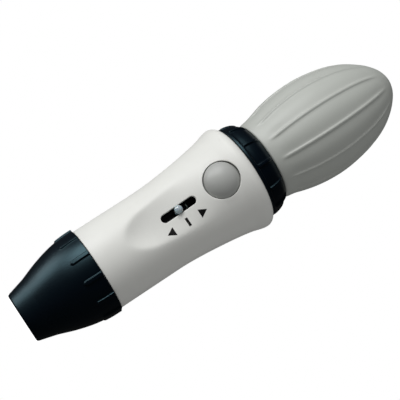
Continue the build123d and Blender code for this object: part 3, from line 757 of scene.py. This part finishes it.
@dataclass
class NoseCone:
    """The dark screwed nose cone with its grip ribs, and the soft adapter inside it.

    Outlines are (radius, height) or (radius, height, reach of the round).
    """

    side: tuple = ((12.7, 0.0), (15.4, 9.6), (18.9, 19.2), (21.35, 28.8), (22.2, 36.0),
                   (22.3, 41.0))
    inside: tuple = ((22.3, 41.0, 0.35), (19.7, 41.0, 0.3), (19.7, 29.5, 0.0), (16.1, 27.4, 0.0),
                     (16.1, 21.0, 0.3), (13.1, 21.0, 0.3), (13.1, 19.1, 0.5), (7.5, 3.5, 0.5),
                     (7.5, 0.0, 0.6))
    tip_round: float = 0.9
    side_step: float = 0.7
    cone_step: float = 0.6
    ribs: Ribs = Ribs(12, first=15.0, width=2.0, height=0.65, flank=0.4, radius=22.0)
    rib_start: float = 32.4
    skin_depth: tuple = (-0.7, -0.35)
    adapter: tuple = ((5.2, 0.5, 0.4), (7.2, 0.5, 0.5), (7.2, 3.5, 0.3), (12.8, 19.1, 0.5),
                      (12.8, 21.1, 0.3), (15.8, 21.1, 0.4), (15.8, 24.4, 0.4), (3.02, 24.4, 0.2),
                      (3.02, 19.3, 0.2), (1.5, 19.3, 0.2), (1.5, 16.5, 0.2), (3.5, 16.5, 0.3),
                      (3.5, 6.0, 0.8))
    adapter_step: float = 0.8
    adapter_sides: int = 96

    def lift(self, radius: Array, height: Array, turn: Array) -> Array:
        """Ribs that begin with round ends and run on to the rim, on the outside only."""
        outer = curve_through([(z, r) for r, z in self.side], height)
        outside = smoothstep(*self.skin_depth, radius - outer)
        return outside * self.ribs.lift(turn, radius, np.maximum(self.rib_start - height, 0.0))

    def build(self) -> None:
        """Make the cone and the adapter."""
        side = path_through(self.side[1:], self.side_step)
        corners = [(*self.side[0], self.tip_round)] + [(r, z, 0.0) for r, z in side[:-1]]
        outline = soft_outline(corners + list(self.inside), self.cone_step)
        points, faces = lathe(outline, self.ribs.angles(), self.lift)
        NAVY_SHELL.dress(make_piece("nose_cone_shell", points, faces, Body.NOSE_CONE,
                                    ("nose_cone",)))
        outline = soft_outline(self.adapter, self.adapter_step)
        points, faces = lathe(outline, even_angles(self.adapter_sides))
        ADAPTER_RUBBER.dress(make_piece("adapter_cone", points, faces, Body.NOSE_INSERT,
                                        ("pipette_adapter",)))


@dataclass
class BulbEnd:
    """The dark collar and the ribbed squeeze bulb.

    Outlines are (radius, height) or (radius, height, reach of the round).
    """

    collar_band: tuple = ((24.9, 127.3, 0.35), (24.9, 128.7, 0.35), (24.2, 129.2, 0.3))
    collar_side: tuple = ((24.15, 129.4), (23.8, 132.0), (22.6, 135.4), (20.6, 137.9))
    collar_inside: tuple = ((18.95, 138.0, 0.3), (18.95, 135.3, 0.2), (21.6, 135.3, 0.2),
                            (21.6, 127.3, 0.3))
    collar_steps: tuple = (0.4, 0.5)
    collar_ribs: Ribs = Ribs(12, first=10.3, width=1.6, height=0.85, flank=0.45, radius=23.0)
    collar_rise: tuple = (129.0, 129.7)
    collar_fall: tuple = (136.6, 137.9)
    lip_reach: tuple = (19.6, 20.2)
    skirt_reach: tuple = (21.7, 22.0)
    lip_start: float = 133.0
    lip_inset: float = 1.5
    bulb_side: tuple = ((20.5, 138.35), (21.7, 144.0), (24.35, 153.6), (25.8, 163.2),
                        (26.05, 172.0), (25.0, 182.4), (22.85, 192.0), (18.85, 201.6),
                        (12.3, 211.0), (7.2, 215.3), (0.0, 217.7))
    bulb_ends: tuple = ((0.35, 1.0), (-1.0, 0.0))
    bulb_foot: tuple = ((18.6, 133.1, 0.0), (21.0, 133.1, 0.3), (21.0, 135.2, 0.3),
                        (18.6, 135.2, 0.2), (18.6, 138.0, 0.2))
    bulb_crown: tuple = ((0.0, 215.7, 0.0), (7.0, 213.4, 0.0))
    bulb_neck: tuple = ((16.6, 139.0, 0.5), (16.6, 133.1, 0.3))
    bulb_wall: float = 2.0
    bulb_steps: tuple = (0.8, 2.5, 1.2)
    bulb_ribs: Ribs = Ribs(12, first=19.4, width=1.5, height=0.6, flank=1.2, radius=25.0)
    bulb_rise: tuple = (141.0, 147.0)
    bulb_fall: tuple = (200.0, 210.5)
    skin_depth: tuple = (-1.3, -0.7)
    gore_swell: float = 0.35
    radius_step: float = 0.5

    def collar_lift(self, radius: Array, height: Array, turn: Array) -> Array:
        """Grip ribs between the collar's band and its lip, on the outside only."""
        place = smoothstep(*self.collar_rise, height)
        place = place * (1.0 - smoothstep(*self.collar_fall, height))
        inset = self.lip_inset * (height > self.lip_start)
        outside = smoothstep(*self.lip_reach, radius)
        outside = outside * smoothstep(*self.skirt_reach, radius + inset)
        return self.collar_ribs.lift(turn, radius) * place * outside

    def bulb_lift(self, radius: Array, height: Array, turn: Array) -> Array:
        """Thin meridian ribs that fade at both ends, with gores that swell a little between."""
        outside = smoothstep(*self.skin_depth, radius - self.outer_radius(height))
        place = smoothstep(*self.bulb_rise, height) * (1.0 - smoothstep(*self.bulb_fall, height))
        ribs = self.bulb_ribs
        gores = np.cos(ribs.count * (turn - math.radians(ribs.first)))
        swell = self.gore_swell * (-0.5 - 0.5 * gores)
        return outside * place * (ribs.lift(turn, radius) + swell)

    def outer_radius(self, height: Array) -> Array:
        """The bulb's outer radius by height, read from its sampled side."""
        side = path_through(self.bulb_side, self.radius_step, *self.bulb_ends)
        return np.interp(height, side[:, 1], side[:, 0])

    def collar(self) -> None:
        """Make the collar."""
        side_step, outline_step = self.collar_steps
        arc = path_through(self.collar_side, side_step)
        corners = list(self.collar_band) + [(r, z, 0.0) for r, z in arc] + list(self.collar_inside)
        angles = self.collar_ribs.angles()
        points, faces = lathe(soft_outline(corners, outline_step), angles, self.collar_lift)
        NAVY_SHELL.dress(make_piece("collar_ring", points, faces, Body.COLLAR,
                                    ("bulb_collar",)))

    def bulb(self) -> None:
        """Make the bulb: its foot, its side, its crown from inside, its inner side, its neck."""
        side_step, inner_step, outline_step = self.bulb_steps
        side = path_through(self.bulb_side, side_step, *self.bulb_ends)
        inner = path_through(self.bulb_side[1:-3], inner_step)[::-1]
        corners = list(self.bulb_foot) + [(r, z, 0.0) for r, z in side] + list(self.bulb_crown)
        corners += [(r - self.bulb_wall, z, 0.0) for r, z in inner] + list(self.bulb_neck)
        angles = self.bulb_ribs.angles()
        points, faces = lathe(soft_outline(corners, outline_step), angles, self.bulb_lift)
        BULB_RUBBER.dress(make_piece("bulb_skin", points, faces, Body.BULB,
                                     ("bulb",)))

    def build(self) -> None:
        """Make the collar and the bulb."""
        self.collar()
        self.bulb()


@dataclass
class Controls:
    """The thumb button, the lever stud and the slide behind the slot.

    Outlines are (radius, height) or (radius, height, reach of the round).
    """

    dome: tuple = ((0.0, 2.86), (3.5, 2.32), (6.3, 0.92), (8.5, -1.2))
    dome_step: float = 0.35
    cap_skirt: tuple = ((8.78, -1.7, 0.35), (8.78, -4.6, 0.4), (7.3, -4.6, 0.3),
                        (7.3, -2.4, 0.5), (0.0, -2.4, 0.0))
    cap_step: float = 0.5
    cap_sides: int = 128
    stud_radius: float = 2.05
    stud_shoulder: float = 19.5
    stud_crown: float = 1.9
    stud_samples: int = 12
    stud_stem: tuple = ((2.05, 18.75, 0.15), (1.85, 18.6, 0.1), (1.85, 5.2, 0.2), (0.0, 5.2, 0.0))
    stud_step: float = 0.4
    stud_sides: int = 64
    shield_size: tuple = (8.0, 31.0)
    shield_front: float = 14.9
    shield_thickness: float = 1.1
    shield_sides: int = 96
    shield_power: float = 8.0
    ridge_offset: float = 4.9
    ridge: tuple = ((0.0, -1.0, 0.0), (0.28, -1.0, 0.12), (0.28, 1.0, 0.12), (0.0, 1.0, 0.0))
    ridge_stretch: float = 1.4
    ridge_step: float = 0.2
    ridge_sides: int = 24

    def button(self) -> None:
        """Make the domed button: an outline turned about Z, then laid along its line of travel."""
        dome = path_through(self.dome, self.dome_step, (1.0, 0.0))
        corners = [(r, z, 0.0) for r, z in dome[:-1]] + list(self.cap_skirt)
        outline = soft_outline(corners, self.cap_step)
        points, faces = lathe(outline, even_angles(self.cap_sides))
        tilt = math.radians(BUTTON_TILT)
        across = np.array([1.0, 0.0, 0.0])
        outward = np.array([0.0, -math.cos(tilt), -math.sin(tilt)])
        upward = np.array([0.0, -math.sin(tilt), math.cos(tilt)])
        centre = np.array([0.0, -BUTTON_PLANE, BUTTON_HEIGHT])
        placed = centre + points @ np.stack([across, upward, outward])
        BUTTON_GREY.dress(make_piece("button_dome", placed, faces, Body.BUTTON,
                                     ("button_cap",)))

    def stud(self) -> None:
        """Make the lever stud: an outline turned about Z, then laid along -Y at the lever."""
        turn = np.linspace(math.pi / 2, 0.0, self.stud_samples)
        crown = np.stack([self.stud_radius * np.cos(turn),
                          self.stud_shoulder + self.stud_crown * np.sin(turn)], axis=1)
        corners = [(r, z, 0.0) for r, z in crown] + list(self.stud_stem)
        outline = soft_outline(corners, self.stud_step)
        points, faces = lathe(outline, even_angles(self.stud_sides))
        placed = np.stack([points[:, 0], -points[:, 2], points[:, 1] + LEVER_HEIGHT], axis=1)
        STUD_GLOSS.dress(make_piece("thumb_stud", placed, faces, Body.LEVER,
                                    ("lever_stud",)))

    def shield(self) -> None:
        """Make the dark slide with a small ridge across it, the ridge coloured pale as a painted
        highlight on the slide.

        Formula: rings of one rounded rectangle, |x/a| to the 8th + |z/b| to the 8th = 1, shrunk at
        the slide's edges and closed to a point in the middle of its two faces.
        """
        turn = even_angles(self.shield_sides)
        power = 2.0 / self.shield_power
        x = np.sign(np.cos(turn)) * np.abs(np.cos(turn)) ** power * self.shield_size[0] / 2
        z = np.sign(np.sin(turn)) * np.abs(np.sin(turn)) ** power * self.shield_size[1] / 2
        front, back = -self.shield_front, -self.shield_front + self.shield_thickness
        shrink = np.array([0.0, 0.5, 0.93, 0.97, 1.0, 1.0, 0.97, 0.5, 0.0])[:, None]
        level = np.array([front, front, front, front + 0.05, front + 0.25, back - 0.2,
                          back, back, back])
        y = level[:, None] + 0.0 * turn[None, :]
        points = np.stack([x * shrink, y, LEVER_HEIGHT + z * shrink], axis=-1).reshape(-1, 3)
        faces = quads(len(level), len(turn), False, True)
        SLOT_BLACK.dress(make_piece("slot_slide", points, faces, Body.LEVER,
                                    ("slot_shield",)))
        bar = soft_outline(self.ridge, self.ridge_step)
        points, faces = lathe(bar, even_angles(self.ridge_sides))
        placed = np.stack([points[:, 2], points[:, 1] * self.ridge_stretch + front,
                           points[:, 0] + LEVER_HEIGHT + self.ridge_offset], axis=1)
        # The ridge is coloured pale as a painted highlight on the dark slide.
        RIDGE_PAINTED_HIGHLIGHT.dress(make_piece("slide_ridge", placed, faces, Body.LEVER))

    def build(self) -> None:
        """Make the button, the stud and the slide."""
        self.button()
        self.stud()
        self.shield()


@dataclass
class InnerWorks:
    """The nodes that show only through gaps or in moved poses, with their own finishes."""

    finishes: dict = field(default_factory=lambda: {
        "nose_spigot": INNER_GREY, "bulb_spigot": INNER_GREY, "valve_block": INNER_GREY,
        "exhaust_body": INNER_GREY, "exhaust_end_plug": INNER_GREY, "filter_lower_half": CASE_WHITE,
        "filter_upper_half": CASE_WHITE, "filter_membrane": MEMBRANE, "filter_o_ring": SEAL_BLACK,
        "spool_o_rings": SEAL_BLACK, "spigot_o_ring": SEAL_BLACK, "exhaust_poppet": SEAL_BLACK,
        "shell_screws": TURNED_STEEL, "valve_spool": TURNED_STEEL, "button_stem": TURNED_STEEL,
        "lower_centring_spring": SPRING_STEEL, "upper_centring_spring": SPRING_STEEL,
        "button_spring": SPRING_STEEL, "lower_spring_plug": TURNED_BRASS,
        "upper_spring_plug": TURNED_BRASS, "lower_tube": TUBE_CLEAR, "upper_tube": TUBE_CLEAR,
    })

    @staticmethod
    def close_up(name: str, joint: str, axis: tuple[float, float, float], travel: float) -> None:
        """Give a spring its own copy of its mesh.

        Args:
            name: The spring's node.
            joint: The joint that presses it; not used.
            axis: The direction from its free end to its seat; not used.
            travel: How far the joint moves; not used.
        """
        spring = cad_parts[name]
        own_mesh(spring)

    def build(self) -> None:
        """Dress every node that no new piece stands for, and give the springs their own meshes."""
        for name, finish in self.finishes.items():
            finish.dress(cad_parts[name])
            log.info("%s: %s", name, finish.name)
        tilt = math.radians(BUTTON_TILT)
        self.close_up("lower_centring_spring", "lever_slide", (0.0, 0.0, -1.0), LEVER_TRAVEL)
        self.close_up("upper_centring_spring", "lever_slide", (0.0, 0.0, 1.0), LEVER_TRAVEL)
        self.close_up("button_spring", "button_press", (0.0, math.cos(tilt), math.sin(tilt)),
                      BUTTON_TRAVEL)


@dataclass
class Studio:
    """The camera at the photograph's angle, the soft light and the pale floor.

    Lengths here are in metres. A lamp stands along the view's side, upward and forward directions.
    """

    distance: float = 0.480
    azimuth: float = 8.5
    side_step: float = -0.00110
    height: float = 0.00275
    pitch: float = 11.67
    roll: float = 33.1
    focal_pixels: float = 1004.5
    picture_width: float = 400.0
    sensor: float = 36.0
    aim: tuple = (0.0, 0.0, 0.11)
    key_distance: float = 0.95
    key_lean: tuple = (-0.87, 0.15, -0.5)
    key_size: float = 0.60
    key_power: float = 7.3
    edge_lean: tuple = (-0.87, -0.46, -0.18)
    edge_size: float = 0.58
    edge_power: float = 4.6
    surround: float = 0.37
    mirrored: float = 0.03
    floor_radius: float = 0.22
    floor_glow: float = 1.0
    floor_tone: Colour = (0.60, 0.60, 0.59)
    floor_roughness: float = 0.8
    floor_rings: tuple = (0.0, 0.3, 0.6, 1.0)
    floor_sides: int = 128
    nearest: float = 0.01

    def axes(self) -> tuple[Vector, Vector, Vector]:
        """The view's forward, upward and sideways directions before the roll."""
        turn, tip = math.radians(self.azimuth), math.radians(self.pitch)
        level = Vector((-math.sin(turn), math.cos(turn), 0.0))
        forward = level * math.cos(tip) + Vector((0.0, 0.0, math.sin(tip)))
        upward = Vector((0.0, 0.0, math.cos(tip))) - level * math.sin(tip)
        return forward, upward, Vector((math.cos(turn), math.sin(turn), 0.0))

    def camera(self) -> None:
        """Place the camera, rolled as the photograph is."""
        forward, upward, side = self.axes()
        turn, roll = math.radians(self.azimuth), math.radians(self.roll)
        right = upward * math.cos(roll) + side * math.sin(roll)
        up = upward * math.sin(roll) - side * math.cos(roll)
        level = Vector((-math.sin(turn), math.cos(turn), 0.0))
        place = -level * self.distance + side * self.side_step + Vector((0.0, 0.0, self.height))
        data = bpy.data.cameras.new("camera")
        data.sensor_width = self.sensor
        data.lens = self.focal_pixels / self.picture_width * self.sensor
        data.clip_start = self.nearest
        camera = bpy.data.objects.new("camera", data)
        bpy.context.scene.collection.objects.link(camera)
        turned = Matrix((right, up, -forward)).transposed().to_4x4()
        camera.matrix_world = Matrix.Translation(place) @ turned
        bpy.context.scene.camera = camera

    def lamp(self, name: str, direction: tuple[float, float, float], size: float,
             power: float) -> bpy.types.Object:
        """Place one round lamp that shines on the pump.

        Args:
            name: The lamp's name.
            direction: Where it stands, along the view's side, upward and forward directions.
            size: Its diameter.
            power: Its power.

        Returns:
            The lamp.
        """
        forward, upward, side = self.axes()
        lean = side * direction[0] + upward * direction[1] + forward * direction[2]
        data = bpy.data.lights.new(name, "AREA")
        data.shape = "DISK"
        data.size = size
        data.energy = power
        placed = bpy.data.objects.new(name, data)
        bpy.context.scene.collection.objects.link(placed)
        placed.location = Vector(self.aim) + lean.normalized() * self.key_distance
        placed.rotation_euler = lean.to_track_quat("Z", "Y").to_euler()
        return placed

    def light(self) -> None:
        """A large soft lamp on the picture's upper left, a gloss lamp below it, a dim surround."""
        self.lamp("key", self.key_lean, self.key_size, self.key_power)
        edge = self.lamp("edge", self.edge_lean, self.edge_size, self.edge_power)
        edge.visible_diffuse = False
        world = bpy.data.worlds.new("surround")
        bpy.context.scene.world = world
        world.use_nodes = True
        nodes, links = world.node_tree.nodes, world.node_tree.links
        backdrop = nodes["Background"]
        backdrop.inputs["Color"].default_value = WHITE
        path = nodes.new("ShaderNodeLightPath")
        spread = nodes.new("ShaderNodeMapRange")
        spread.inputs["To Max"].default_value = 1.0
        links.new(path.outputs["Is Camera Ray"], spread.inputs["Value"])
        dim = nodes.new("ShaderNodeMapRange")
        set_inputs(dim, {"To Min": self.surround, "To Max": self.mirrored})
        links.new(path.outputs["Is Glossy Ray"], dim.inputs["Value"])
        links.new(dim.outputs["Result"], spread.inputs["To Min"])
        links.new(spread.outputs["Result"], backdrop.inputs["Strength"])

    def floor(self) -> None:
        """A pale round table top under the pump."""
        turn = even_angles(self.floor_sides)
        radius = np.array(self.floor_rings)[:, None] * self.floor_radius
        points = np.stack([radius * np.cos(turn), radius * np.sin(turn), 0.0 * radius * turn],
                          axis=-1)
        faces = quads(len(self.floor_rings), self.floor_sides, False, True)
        mesh = bpy.data.meshes.new("floor")
        mesh.from_pydata(points.reshape(-1, 3).tolist(), [], faces.tolist())
        table = bpy.data.objects.new("floor", mesh)
        bpy.context.scene.collection.objects.link(table)
        made = bpy.data.materials.new("pale_floor")
        made.use_nodes = True
        shader = made.node_tree.nodes["Principled BSDF"]
        set_inputs(shader, {"Base Color": (*self.floor_tone, 1.0), "Emission Color": WHITE,
                            "Roughness": self.floor_roughness})
        nodes, links = made.node_tree.nodes, made.node_tree.links
        path = nodes.new("ShaderNodeLightPath")
        glow = nodes.new("ShaderNodeMapRange")
        glow.inputs["To Max"].default_value = self.floor_glow
        links.new(path.outputs["Is Camera Ray"], glow.inputs["Value"])
        links.new(glow.outputs["Result"], shader.inputs["Emission Strength"])
        mesh.materials.append(made)
        table.visible_shadow = False
        table.visible_glossy = False

    def build(self) -> None:
        """Set the camera, the light and the floor."""
        bpy.context.scene.view_settings.view_transform = "Standard"
        self.camera()
        self.light()
        self.floor()


def main() -> None:
    """Build the pump's looks in order."""
    logging.basicConfig(level=logging.INFO, format="%(name)s %(message)s")
    for assembly in (Studio(), Housing(), NoseCone(), BulbEnd(), Controls(), InnerWorks()):
        assembly.build()
        log.info("%s done", type(assembly).__name__)


if __name__ == "__main__":
    main()
